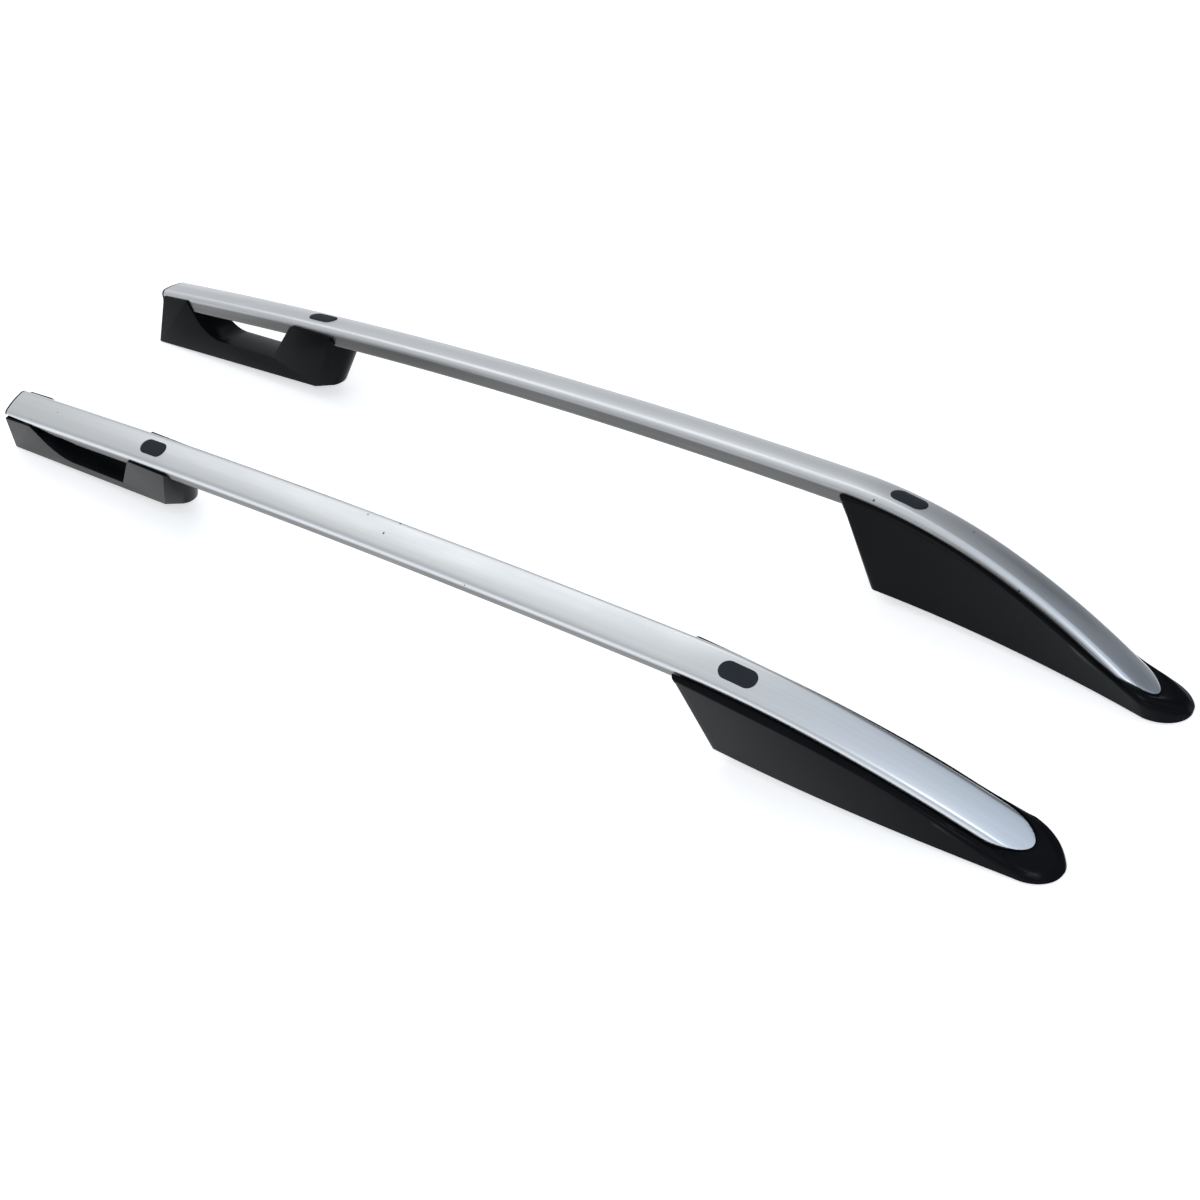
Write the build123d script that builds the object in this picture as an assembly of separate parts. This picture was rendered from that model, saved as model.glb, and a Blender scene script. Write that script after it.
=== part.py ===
from build123d import *
import os
from math import cos, degrees, radians, sin, sqrt, tan

# A pair of roof side rails, mirrored about the XZ plane. +X is forward, +Y is left, +Z is up.
# One rail is built with +Y outboard. Its crown line starts at the rear end of the extrusion.
# Lengths are in millimetres and angles in degrees. Stations are lengths along the crown line.

# Rail section: a hollow extrusion with a crowned top
rail_width = 48.0
rail_height = 28.0
rail_wall = 2.6
crown_rise = 2.6
shoulder_radius = 8.0
heel_radius = 3.0
inner_heel_radius = 0.5
side_draft = 1.5

# Rail line: three tangent arcs in one plane, flat over the roof and tighter over the front
rear_heading = 4.5
main_radius = 11000.0
main_length = 1248.0
bend_radius = 680.0
bend_length = 216.0
tip_radius = 890.0
tip_length = 226.0
tongue_length = 80.0
tongue_flare = 3.0
mitre_height = 9.0

# How the rail stands: the height of its rear crown, and its lean and pitch
rear_height = 88.0
lean = 15.5
stand_pitch = 1.675
pair_spacing = 317.0

# Plugs and the rail screws under them: how far they lie from the rail's rear end and from its tip
rear_plug_station = 335.0
front_plug_setback = 360.0
plug_length = 46.0
plug_width = 18.5
plug_lap = 0.9
plug_proud = 0.8
plug_depth = 7.0
screw_radius = 4.0
screw_head_radius = 6.5
screw_head_height = 8.0
screw_reach = 34.0
socket_radius = 3.0
socket_depth = 4.0

# Rear end cap
cap_thickness = 5.0
cap_insert = 16.0
cap_edge = 2.0

# Fits
seat_gap = 0.3
groove_gap = 0.7
bore_gap = 0.1
wall_room = 0.8

# Bases: each foot has a flat base that follows the roof, with a rubber pad under it
gasket_thickness = 2.0
gasket_inset = 1.5
gasket_hole_room = 1.0
rear_base_start = -35.4
rear_base_tilt = 3.52
nose_reach = 36.3
front_base_tilt = -2.3

# Rear foot: plan at the floor and the rake and lean of its walls, then its side profile
foot_inner = -39.5
foot_outer = 11.0
foot_end = 307.5
foot_facet_run = 24.0
foot_facet_turn = 26.0
foot_rear_rake = 23.8
foot_front_rake = 32.3
foot_inner_lean = 7.5
foot_outer_lean = 9.7
foot_corner_radius = 3.0
rear_lip_drop = 10.0
rear_lip_end = 58.0
lip_corner_radius = 6.0
window_start = 88.0
window_end = 236.0
window_sill = -58.5
sill_rise = 3.0
window_rake = 42.0
window_sweep_radius = 55.0
window_corner_radius = 5.0
front_lip_drop = 16.0
front_lip_end = 374.0
step_length = 12.0
step_radius = 5.0

# Pads of the rear foot that carry the rail, one under each lip
pad_width = 34.0
pad_depth = 4.0
rear_pad_start = 6.0
rear_pad_length = 44.0
front_pad_start = 302.0
front_pad_length = 78.0

# Front cover: its length and rakes, the offsets of its side lines at the floor and at the upper level
# (rear, middle and front), then the rim line and the bead below it
cover_top_level = 160.0
cover_length = 419.0
nose_length = 42.0
cover_rake = 11.5
cover_nose_rake = 10.0
floor_outer_rear = 15.0
floor_outer_middle = 15.0
floor_outer_front = 5.0
floor_inner_rear = -31.5
floor_inner_middle = -36.0
floor_inner_front = -57.0
top_outer_rear = 36.0
top_outer_middle = 27.0
top_outer_front = -14.0
top_inner_rear = -23.5
top_inner_middle = -33.5
top_inner_front = -72.0
cover_wall = 3.0
cover_inner_corner = 8.0
cover_outer_corner = 4.0
rim_drop = 14.0
rim_rise_setback = 90.0
rim_rise_radius = 500.0
rim_rise_length = 109.0
nose_radius = 34.0
nose_turn = 67.0
bead_height = 6.0
bead_proud = 0.8
bead_setback = 87.0

# Front bracket inside the cover: setbacks are from the front end of the base
plate_thickness = 4.0
plate_setback = 97.0
post_length = 70.0
post_width = 30.0
post_foot_centre = -11.0
post_head_centre = 3.0
web_thickness = 6.0
web_setback = 117.0
web_offset = -13.0

# Threaded inserts for the vehicle's bolts
insert_radius = 6.5
insert_bore = 4.0
insert_length = 16.0
foot_insert_start = 55.0
foot_insert_spacing = 210.0
foot_insert_offset = -15.0
bracket_insert_setback = 142.0
bracket_insert_spacing = 155.0
bracket_insert_offset = -13.0
boss_wall = 4.0

# Cover screws
cover_screw_setback = 187.0
cover_screw_spacing = 55.0
cover_screw_offset = 2.0
cover_screw_radius = 2.0
cover_screw_head_radius = 4.0
cover_screw_head_height = 2.4
cover_screw_reach = 13.0
cover_boss_radius = 5.0

# Cutting tools run past what they cut: by REACH in the open, by OVERRUN along a bore or the rail,
# by TONGUE_RUN round the rail's tip and by NOSE_RUN past it
REACH = 400.0
OVERRUN = 20.0
TONGUE_RUN = 60.0
NOSE_RUN = 120.0
QUARTER_TURN = 90.0

rail_length = main_length + bend_length + tip_length
front_plug_station = rail_length - front_plug_setback
trough_drop = rail_height + groove_gap + cover_wall
foot_insert_places = (foot_insert_start, foot_insert_start + foot_insert_spacing)


def turn_of(length, radius):
    """Angle that an arc of this length turns through."""
    return degrees(length / radius)


def rail_arcs(drop=0.0, run_back=0.0, run_on=0.0):
    """The crown line, or a line this far below it, as three arcs drawn flat."""
    first = radians(rear_heading + turn_of(run_back, main_radius))
    heading = radians(rear_heading)
    reach = main_radius - drop
    start = (
        main_radius * sin(heading) - reach * sin(first),
        reach * cos(first) - main_radius * cos(heading),
    )
    main = JernArc(start, (cos(first), sin(first)), reach, -turn_of(main_length + run_back, main_radius))
    bend = JernArc(main @ 1, main % 1, bend_radius - drop, -turn_of(bend_length, bend_radius))
    tip = JernArc(bend @ 1, bend % 1, tip_radius - drop, -turn_of(tip_length + run_on, tip_radius))
    return [main, bend, tip]


def rail_line(run_on=0.0):
    """The crown line in the XZ plane."""
    return Plane.XZ * Wire(rail_arcs(run_on=run_on))


crown = rail_line()


def rail_plane(station):
    """Plane on the crown line: X forward along the rail, Z out of its top."""
    share = station / rail_length
    forward = crown.tangent_at(share)
    return Plane(crown.position_at(share), x_dir=forward, z_dir=forward.cross(Vector(0, 1, 0)))


def crown_height(x):
    """Height of the main arc's crown above its rear end, in the rail's own plane."""
    heading = radians(rear_heading)
    across = main_radius * sin(heading) - x
    return sqrt(main_radius ** 2 - across ** 2) - main_radius * cos(heading)


def rail_section(grow=0.0):
    """Section of the extrusion about its crown point, grown by a clearance or shrunk by a wall."""
    half_top = rail_width / 2 + grow
    half_foot = half_top - side_draft
    shoulder = -crown_rise + grow
    foot = -rail_height - grow
    sides = Polyline((half_top, shoulder), (half_foot, foot), (-half_foot, foot), (-half_top, shoulder))
    top = ThreePointArc((-half_top, shoulder), (0, grow), (half_top, shoulder))
    face = make_face(sides + top)
    face = fillet(face.vertices().group_by(Axis.Y)[-1], shoulder_radius + grow)
    return fillet(face.vertices().group_by(Axis.Y)[0], max(heel_radius + grow, inner_heel_radius))


def sweep_along(face, line):
    """Sweep a section, drawn about the crown point, along a line in the XZ plane."""
    start = Plane(line @ 0, x_dir=(0, 1, 0), z_dir=line % 0)
    return sweep(start * face, path=line)


def sweep_on_rail(face, run_on=0.0):
    """Sweep a section along the whole crown line, and this far past its front end."""
    return sweep_along(face, rail_line(run_on))


# The rail's own upright frame is leaned outboard, pitched and lifted to where it stands
rail_pose = Pos(0, 0, rear_height) * Rot(0, -stand_pitch, 0) * Rot(-lean, 0, 0)


def stand_x(station):
    """Where a station of the crown line stands along X."""
    return (rail_pose * Pos(crown.position_at(station / rail_length))).position.X


# The front pieces take their places along X from the rail's tip
nose_base_end = stand_x(rail_length) + nose_reach
cover_start = nose_base_end - cover_length
cover_shoulder = nose_base_end - nose_length
post_middle = stand_x(front_plug_station)
bracket_insert_front = nose_base_end - bracket_insert_setback
bracket_insert_places = (bracket_insert_front - bracket_insert_spacing, bracket_insert_front)
cover_screw_front = nose_base_end - cover_screw_setback
cover_screw_places = (cover_screw_front - cover_screw_spacing, cover_screw_front)


def base_plane(x, tilt, rise):
    """Plane of a base that touches the floor at x and tilts about Y, raised by rise."""
    forward = Vector(cos(radians(tilt)), 0, sin(radians(tilt)))
    up = Vector(-sin(radians(tilt)), 0, cos(radians(tilt)))
    return Plane(Vector(x, 0, 0) + up * rise, x_dir=forward, z_dir=up)


def rear_base(rise=0.0):
    """Underside of the rear pad, or a plane above it."""
    return base_plane(rear_base_start + gasket_inset, rear_base_tilt, rise)


def front_base(rise=0.0):
    """Underside of the front pad, or a plane above it."""
    return base_plane(nose_base_end - gasket_inset, front_base_tilt, rise)


def above(part, plane):
    """What lies on the upper side of a plane."""
    return split(part, bisect_by=plane, keep=Keep.TOP)


def below(part, plane):
    """What lies on the lower side of a plane."""
    return split(part, bisect_by=plane, keep=Keep.BOTTOM)


def base_cylinder(plane, x, offset, radius, low, high):
    """Round prism square to a base, between two heights above it."""
    spot = plane.offset(low) * Pos(x - plane.origin.X, offset)
    return extrude(spot * Circle(radius), amount=high - low)


def tongue_cutter(grow):
    """What is cut from the end of the rail to leave its rounded tongue."""
    end = rail_plane(rail_length)
    block = Rectangle(tongue_length + TONGUE_RUN, 2 * rail_width, align=(Align.MIN, Align.CENTER))
    tongue = Ellipse(tongue_length + grow, rail_width / 2 + tongue_flare + grow)
    return extrude(end * Pos(-tongue_length, 0) * (block - tongue), amount=TONGUE_RUN, both=True)


def rail_envelope(grow=0.0):
    """Outer form of the rail where it stands, grown by a clearance."""
    body = sweep_on_rail(rail_section(grow), OVERRUN) - tongue_cutter(grow)
    return above(rail_pose * body, front_base(mitre_height - grow))


def rear_channel(grow, run_back):
    """Outer form of the rail's main arc, grown by a clearance and run back past its rear end."""
    main = Plane.XZ * rail_arcs(run_back=run_back)[0]
    return rail_pose * sweep_along(rail_section(grow), main)


def below_line(line):
    """Everything under a chain of arcs drawn in the rail's plane, right across the rail."""
    first = line[0] @ 0
    last = line[-1] @ 1
    closing = Polyline(last, (last.X, -REACH), (first.X, -REACH), first)
    face = make_face(line + closing.edges())
    return rail_pose * extrude(Plane.XZ * face, amount=REACH, both=True)


def below_rail(drop):
    """Everything under a line this far below the crown."""
    return below_line(rail_arcs(drop=drop, run_on=NOSE_RUN))


def slot_prism(station, length, width, low, high):
    """Oblong prism out of the rail's top, between two heights about the crown."""
    return extrude(rail_plane(station).offset(low) * SlotOverall(length, width), amount=high - low)


def rail_cylinder(station, radius, low, high):
    """Round prism out of the rail's top, between two heights about the crown."""
    return extrude(rail_plane(station).offset(low) * Circle(radius), amount=high - low)


def screw_bore(station):
    """Bore for a rail screw through the rail's lower wall and into what carries it."""
    depth = rail_height + screw_reach + OVERRUN
    return rail_pose * rail_cylinder(station, screw_radius + bore_gap, -depth, -rail_height / 2)


def make_rail():
    """Hollow extrusion with plug holes in its top and screw holes in its underside."""
    hollow = sweep_on_rail(rail_section(-rail_wall), OVERRUN)
    for station in (rear_plug_station, front_plug_station):
        hollow += slot_prism(station, plug_length, plug_width, -rail_height / 2, OVERRUN)
    body = rail_envelope() - rail_pose * hollow
    for station in (rear_plug_station, front_plug_station):
        body -= screw_bore(station)
    return body


def make_end_cap():
    """Cap plate with a rounded rim, and a plug that fits the hollow."""
    start = Plane(crown @ 0, x_dir=(0, 1, 0), z_dir=crown % 0)
    plate = extrude(start * rail_section(), amount=-cap_thickness)
    plate = fillet(plate.edges().group_by(Axis.X)[0], cap_edge)
    stem = extrude(start * rail_section(-rail_wall - seat_gap), amount=cap_insert)
    return rail_pose * (plate + stem)


def make_plug(station, rail):
    """Oblong plug: a lid that laps the hole's edge and a stem that fills the hole."""
    lid = slot_prism(station, plug_length + 2 * plug_lap, plug_width + 2 * plug_lap, -rail_wall, OVERRUN)
    stem = slot_prism(station, plug_length - 2 * bore_gap, plug_width - 2 * bore_gap, -plug_depth, 0)
    skin = sweep_on_rail(rail_section(plug_proud))
    return rail_pose * ((lid & skin) + stem) - rail


def make_rail_screw(station):
    """Cap screw whose head bears on the rail's lower wall, with a hexagon socket."""
    floor = -rail_height + rail_wall
    head = rail_cylinder(station, screw_head_radius, floor, floor + screw_head_height)
    shank = rail_cylinder(station, screw_radius, -rail_height - screw_reach, floor)
    mouth = rail_plane(station).offset(floor + screw_head_height - socket_depth)
    socket = extrude(mouth * RegularPolygon(socket_radius, 6), amount=socket_depth)
    return rail_pose * (head + shank - socket)


def foot_outline(level, inset):
    """Plan of the rear foot at a level: straight sides, square rear, and a nose between two facets."""
    rear = rear_base_start + level * tan(radians(foot_rear_rake)) + inset
    front = foot_end + level * tan(radians(foot_front_rake)) - inset
    inner = foot_inner + level * tan(radians(foot_inner_lean)) + inset
    outer = foot_outer + level * tan(radians(foot_outer_lean)) - inset
    turn = radians(foot_facet_turn)
    narrowing = foot_facet_run * tan(turn)
    nose_start = front + foot_facet_run
    nose_half = (outer - inner) / 2 - narrowing
    nose_rise = nose_half * (1 - sin(turn)) / cos(turn)
    sides = Polyline(
        (nose_start, inner + narrowing),
        (front, inner),
        (rear, inner),
        (rear, outer),
        (front, outer),
        (nose_start, outer - narrowing),
    )
    nose = ThreePointArc(sides @ 1, (nose_start + nose_rise, (inner + outer) / 2), sides @ 0)
    face = make_face(sides + nose)
    face = fillet(face.vertices().group_by(Axis.X)[0], foot_corner_radius)
    return Pos(0, 0, level) * face


def foot_block(inset=0.0):
    """Walls of the rear foot, raked and leaning, from below the floor to above its lips."""
    levels = (-OVERRUN, rear_height + rail_height + OVERRUN)
    return loft([foot_outline(level, inset) for level in levels], ruled=True)


def foot_profile():
    """Side profile of the rear foot in the rail's frame: rear lip, window, front lip and step."""
    sill_end = window_sill + sill_rise
    rear_lip = crown_height(rear_lip_end) - rear_lip_drop
    rear_fall = (rear_lip_end + REACH) * tan(radians(rear_heading))
    front_lip = crown_height(front_lip_end) - front_lip_drop
    window_top = window_end + (front_lip - sill_end) * tan(radians(window_rake))
    underside = crown_height(front_lip_end + step_length) - rail_height - seat_gap
    points = [
        (-REACH, -REACH),
        (-REACH, rear_lip - rear_fall),
        (rear_lip_end, rear_lip),
        (window_start, window_sill),
        (window_end, sill_end),
        (window_top, front_lip),
        (front_lip_end, front_lip),
        (front_lip_end + step_length, underside),
        (front_lip_end + REACH, underside),
        (front_lip_end + REACH, -REACH),
    ]
    radii = [
        lip_corner_radius,
        lip_corner_radius,
        window_sweep_radius,
        window_corner_radius,
        lip_corner_radius,
        step_radius,
        step_radius,
        step_radius,
    ]
    outline = FilletPolyline(points, radius=radii)
    closing = Line(points[-1], points[0])
    return extrude(Plane.XZ * make_face(outline + closing), amount=REACH, both=True)


def foot_pad(start, length):
    """Pad in the saddle's floor that meets the rail's underside."""
    plane = rail_plane(start + length / 2).offset(-rail_height - pad_depth)
    return extrude(plane * Rectangle(length, pad_width), amount=rail_height / 2)


def make_rear_foot():
    """Foot with a window through it, a saddle that laps the rail's sides, and bores in its base."""
    floor = rear_base(gasket_thickness)
    body = above(foot_block() & (rail_pose * foot_profile()), floor)
    body -= rear_channel(groove_gap, cap_thickness + groove_gap)
    pads = foot_pad(rear_pad_start, rear_pad_length) + foot_pad(front_pad_start, front_pad_length)
    body += rail_pose * pads - rear_channel(0.0, 0.0)
    for x in foot_insert_places:
        body -= insert_seat(floor, x, foot_insert_offset)
    return body - screw_bore(rear_plug_station)


def insert_seat(plane, x, offset):
    """Blind bore for a threaded insert, square to a base."""
    radius = insert_radius + bore_gap
    return base_cylinder(plane, x, offset, radius, -OVERRUN, insert_length + bore_gap)


def make_insert(plane, x, offset):
    """Threaded insert, flush with a base."""
    body = base_cylinder(plane, x, offset, insert_radius, 0, insert_length)
    return body - base_cylinder(plane, x, offset, insert_bore, -OVERRUN, insert_length + OVERRUN)


def make_gasket(block, plane, places, offset):
    """Pad between the floor and a base, with holes under the inserts."""
    pad = below(above(block, plane), plane.offset(gasket_thickness))
    hole = insert_radius + gasket_hole_room
    for x in places:
        pad -= base_cylinder(plane, x, offset, hole, -OVERRUN, gasket_thickness + OVERRUN)
    return pad


def cover_outline(level, inset):
    """Plan of the front cover at a level: sides that follow the rail inboard, rounded nose."""
    share = level / cover_top_level
    outer_rear = floor_outer_rear + (top_outer_rear - floor_outer_rear) * share - inset
    outer_middle = floor_outer_middle + (top_outer_middle - floor_outer_middle) * share - inset
    outer_front = floor_outer_front + (top_outer_front - floor_outer_front) * share - inset
    inner_rear = floor_inner_rear + (top_inner_rear - floor_inner_rear) * share + inset
    inner_middle = floor_inner_middle + (top_inner_middle - floor_inner_middle) * share + inset
    inner_front = floor_inner_front + (top_inner_front - floor_inner_front) * share + inset
    rear = cover_start - level * tan(radians(cover_rake)) + inset
    front = cover_shoulder - level * tan(radians(cover_nose_rake))
    middle = (cover_start + front) / 2
    centre = (outer_front + inner_front) / 2
    half = (outer_front - inner_front) / 2
    outer_side = ThreePointArc((rear, outer_rear), (middle, outer_middle), (front, outer_front))
    nose = EllipticalCenterArc(
        (front, centre), nose_length - inset, half, start_angle=-QUARTER_TURN, arc_size=2 * QUARTER_TURN
    )
    inner_side = ThreePointArc((front, inner_front), (middle, inner_middle), (rear, inner_rear))
    rear_side = Line((rear, inner_rear), (rear, outer_rear))
    face = make_face([outer_side, nose, inner_side, rear_side])
    face = fillet(face.vertices().group_by(Axis.X)[0].sort_by(Axis.Y)[0], cover_inner_corner)
    face = fillet(face.vertices().group_by(Axis.X)[0].sort_by(Axis.Y)[-1], cover_outer_corner)
    return Pos(0, 0, level) * face


def cover_block(inset=0.0):
    """Walls of the front cover from below the floor to its upper level."""
    return loft([cover_outline(level, inset) for level in (-OVERRUN, cover_top_level)], ruled=True)


def below_rim(depth=0.0):
    """Everything under the cover's rim, or under a line below it. The rim follows the rail, rises at
    the tip, then rounds the nose."""
    line = rail_arcs(drop=rim_drop + depth, run_on=-rim_rise_setback)
    turn = turn_of(rim_rise_length, rim_rise_radius)
    rise = JernArc(line[-1] @ 1, line[-1] % 1, rim_rise_radius + depth, turn)
    nose = JernArc(rise @ 1, rise % 1, nose_radius - depth, -nose_turn)
    return below_line(line + [rise, nose])


def rim_bead():
    """Raised bead along the top of the cover's walls, up to where the rim rises."""
    bead = (cover_block(-bead_proud) & below_rim()) - below_rim(bead_height)
    return below(bead, Plane((nose_base_end - bead_setback, 0, 0), z_dir=(1, 0, 0)))


def post_block(grow=0.0):
    """Post under the rail: it leans from the base toward the rail's underside."""
    face = Rectangle(post_length + 2 * grow, post_width + 2 * grow)
    foot = Pos(post_middle, post_foot_centre, 0) * face
    head = Pos(post_middle, post_head_centre, cover_top_level) * face
    return loft([foot, head], ruled=True)


def make_front_cover():
    """Wedge shell, open below, with a trough for the rail and bosses for its screws."""
    floor = front_base(gasket_thickness)
    body = above(cover_block() & below_rim(), floor) + rim_bead()
    body -= cover_block(cover_wall) & below_rail(trough_drop)
    boss_ceiling = below_rail(trough_drop - cover_wall / 2)
    hole = cover_screw_radius + bore_gap
    for x in cover_screw_places:
        boss = base_cylinder(
            floor, x, cover_screw_offset, cover_boss_radius, plate_thickness + bore_gap, cover_top_level
        )
        bore = base_cylinder(floor, x, cover_screw_offset, hole, 0, cover_screw_reach + bore_gap)
        body += boss & boss_ceiling
        body -= bore
    return body - rail_envelope(groove_gap) - post_block(wall_room)


def make_front_bracket():
    """Cast support: base plate, post with the rail screw's bore, web, and bosses for the inserts."""
    floor = front_base(gasket_thickness)
    plate = above(cover_block(cover_wall + wall_room), floor)
    plate = below(plate, floor.offset(plate_thickness))
    plate = below(plate, Plane((nose_base_end - plate_setback, 0, 0), z_dir=(1, 0, 0)))
    post = above(post_block(), floor) & below_rail(rail_height)
    corner = (Align.MIN, Align.CENTER, Align.MIN)
    web_length = nose_base_end - web_setback - post_middle
    web = Box(web_length, web_thickness, cover_top_level, align=corner)
    web = above(Pos(post_middle, web_offset, 0) * web, floor) & below_rail(trough_drop + wall_room)
    body = plate + post + web
    for x in bracket_insert_places:
        body += base_cylinder(
            floor, x, bracket_insert_offset, insert_radius + boss_wall, 0, insert_length + boss_wall
        )
        body -= insert_seat(floor, x, bracket_insert_offset)
    hole = cover_screw_radius + bore_gap
    mouth = cover_screw_head_radius + bore_gap
    for x in cover_screw_places:
        body -= base_cylinder(floor, x, cover_screw_offset, hole, 0, plate_thickness + OVERRUN)
        body -= base_cylinder(floor, x, cover_screw_offset, mouth, -OVERRUN, cover_screw_head_height)
    return body - screw_bore(front_plug_station)


def make_cover_screw(x):
    """Flat-headed screw, up through the bracket's plate into the cover's boss."""
    floor = front_base(gasket_thickness)
    head = base_cylinder(floor, x, cover_screw_offset, cover_screw_head_radius, 0, cover_screw_head_height)
    return head + base_cylinder(floor, x, cover_screw_offset, cover_screw_radius, 0, cover_screw_reach)


def make_pieces():
    """Every piece of one rail, by name."""
    rail = make_rail()
    rear_floor = rear_base(gasket_thickness)
    front_floor = front_base(gasket_thickness)
    foot_inserts = [make_insert(rear_floor, x, foot_insert_offset) for x in foot_insert_places]
    bracket_inserts = [make_insert(front_floor, x, bracket_insert_offset) for x in bracket_insert_places]
    return {
        "rail": rail,
        "rear_end_cap": make_end_cap(),
        "rear_plug": make_plug(rear_plug_station, rail),
        "front_plug": make_plug(front_plug_station, rail),
        "rear_foot": make_rear_foot(),
        "rear_gasket": make_gasket(
            foot_block(gasket_inset), rear_base(), foot_insert_places, foot_insert_offset
        ),
        "front_cover": make_front_cover(),
        "front_bracket": make_front_bracket(),
        "front_gasket": make_gasket(
            cover_block(gasket_inset), front_base(), bracket_insert_places, bracket_insert_offset
        ),
        "rail_screws": Compound(
            children=[make_rail_screw(rear_plug_station), make_rail_screw(front_plug_station)]
        ),
        "foot_inserts": Compound(children=foot_inserts),
        "bracket_inserts": Compound(children=bracket_inserts),
        "cover_screws": Compound(children=[make_cover_screw(x) for x in cover_screw_places]),
    }


def main():
    os.makedirs("parts", exist_ok=True)
    pieces = make_pieces()
    rear = pieces["rear_foot"].bounding_box().min.X
    front = pieces["front_cover"].bounding_box().max.X
    place = Pos(-(rear + front) / 2, pair_spacing / 2, 0)
    for name, piece in pieces.items():
        left = place * piece
        export_step(left, f"parts/left_{name}.step")
        export_step(mirror(left, about=Plane.XZ), f"parts/right_{name}.step")


main()
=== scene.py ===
from bisect import bisect_right
from math import atan2, cos, pi, radians, sin, sqrt, tan

import bmesh
import bpy
from mathutils import Matrix, Vector


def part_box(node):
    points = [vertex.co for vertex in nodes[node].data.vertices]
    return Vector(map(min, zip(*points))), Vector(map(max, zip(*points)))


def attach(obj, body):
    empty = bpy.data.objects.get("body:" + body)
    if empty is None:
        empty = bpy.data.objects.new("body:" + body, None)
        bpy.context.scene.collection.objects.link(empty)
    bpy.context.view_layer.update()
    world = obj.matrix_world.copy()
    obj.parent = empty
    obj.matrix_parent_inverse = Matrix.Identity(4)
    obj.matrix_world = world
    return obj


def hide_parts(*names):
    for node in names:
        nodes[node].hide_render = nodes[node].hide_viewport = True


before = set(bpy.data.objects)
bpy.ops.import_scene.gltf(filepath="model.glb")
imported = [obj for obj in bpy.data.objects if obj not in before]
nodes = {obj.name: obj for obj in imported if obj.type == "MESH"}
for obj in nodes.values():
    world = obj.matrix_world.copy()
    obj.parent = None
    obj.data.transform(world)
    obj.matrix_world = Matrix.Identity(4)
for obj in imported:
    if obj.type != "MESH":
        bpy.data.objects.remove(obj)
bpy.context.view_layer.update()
SIDES = {"left": 1, "right": -1}
MM = 0.001

# Camera: where it stands and how it is turned, in metres and degrees
CAMERA_AT = Vector((1.7562, -1.4121, 1.7571))
CAMERA_AZIMUTH = 49.228
CAMERA_ELEVATION = 39.615
CAMERA_ROLL = -14.442
CAMERA_LENS = 67.178
CAMERA_SENSOR = 36.0
CAMERA_CLIP = 200

# Edges and points of the meshes, in radians and metres
SHARP_ANGLE = radians(32)
FLAT_ANGLE = radians(0.6)
WELD = 1e-5
FOOT_EDGE = 0.0009
EDGE_SEGMENTS = 3
OUTBOARD_FACING = 0.97

# How finely the shapes are divided
HALVINGS = 44
HEEL_STEPS = 5
SHOULDER_STEPS = 12
CROWN_STEPS = 6
RAIL_STEPS = (24, 24, 16)
TONGUE_STEPS = 24
CAP_STEPS = 6
PLUG_STEPS = 16
RIM_STEPS = (120, 30, 40)
OUTER_CORNER_STEPS = 6
SIDE_STEPS = 44
NOSE_STEPS = 48
INNER_CORNER_STEPS = 8
WALL_ROWS = 10
LIP_STEPS = 7

# Rail, in millimetres: the arcs of its crown line as radius and length, its section and how it stands
ARCS = ((11000.0, 1248.0), (680.0, 216.0), (890.0, 226.0))
REAR_HEADING = radians(4.5)
RAIL_WIDTH = 48.0
RAIL_HEIGHT = 28.0
RAIL_WALL = 2.6
CROWN_RISE = 2.6
SHOULDER_RADIUS = 8.0
HEEL_RADIUS = 3.0
LEAST_RADIUS = 0.5
SIDE_DRAFT = 1.5
TONGUE_LENGTH = 80.0
TONGUE_HALF = 27.0
TONGUE_LAST_TURN = radians(88)
TIP_TRIM = 8.0
MITRE_HEIGHT = 9.0
GROOVE_GAP = 0.7
HALF_SPACING = 158.5
POSE = (
    Matrix.Translation((0, 0, 88.0))
    @ Matrix.Rotation(radians(-1.675), 4, "Y")
    @ Matrix.Rotation(radians(-15.5), 4, "X")
)
RAIL_LENGTH = sum(length for radius, length in ARCS)
TONGUE_START = RAIL_LENGTH - TONGUE_LENGTH
SIDE_OFFSET = 24.03

# Plugs, with their rim as inset and rise, and the rear end cap
PLUG_STATIONS = {"rear_plug": 335.0, "front_plug": 1330.0}
PLUG_LENGTH = 48.4
PLUG_WIDTH = 23.0
PLUG_RIM = (
    (0.0, -0.6),
    (0.0, 0.1),
    (0.12, 0.45),
    (0.4, 0.72),
    (0.9, 0.9),
    (2.5, 1.1),
    (5.0, 1.25),
    (8.5, 1.32),
)
CAP_THICKNESS = 5.0
CAP_EDGE = 2.0
CAP_STEM = 16.0
CAP_STEM_INSET = 2.9

# Front cover: its side lines at the floor and at the upper level (rear, middle, front), and its rim
LOW_LEVEL = -20.0
TOP_LEVEL = 160.0
COVER_LENGTH = 419.0
NOSE_REACH = 36.3
NOSE_LENGTH = 42.0
COVER_RAKE = tan(radians(11.5))
NOSE_RAKE = tan(radians(10.0))
FLOOR_OUTER = (15.0, 15.0, 5.0)
FLOOR_INNER = (-31.5, -36.0, -57.0)
TOP_OUTER = (36.0, 27.0, -14.0)
TOP_INNER = (-23.5, -33.5, -72.0)
BASE_TILT = radians(2.3)
BASE_INSET = 1.5
BASE_RISE = 2.0
RIM_DROP = 14.0
RIM_START = 1150.0
RIM_RISE_STATION = 1600.0
RIM_RISE = (500.0, 109.0)
RIM_NOSE_RADIUS = 34.0
RIM_NOSE_TURN = radians(67.0)
OUTER_CORNER = 4.0
INNER_CORNER = (14.0, 2.5)
BEAD_PROUD = 0.8
BEAD_HEIGHT = 6.0
BEAD_FADE = (1530.0, 1610.0)
LIP_GROWTH = (1560.0, 1655.0)
LIP_OUTER = (3.0, 9.0)
LIP_INNER = (0.8, 2.6)
LIP_BULGE = 3.2
COVER_THICKNESS = 1.4
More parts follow.
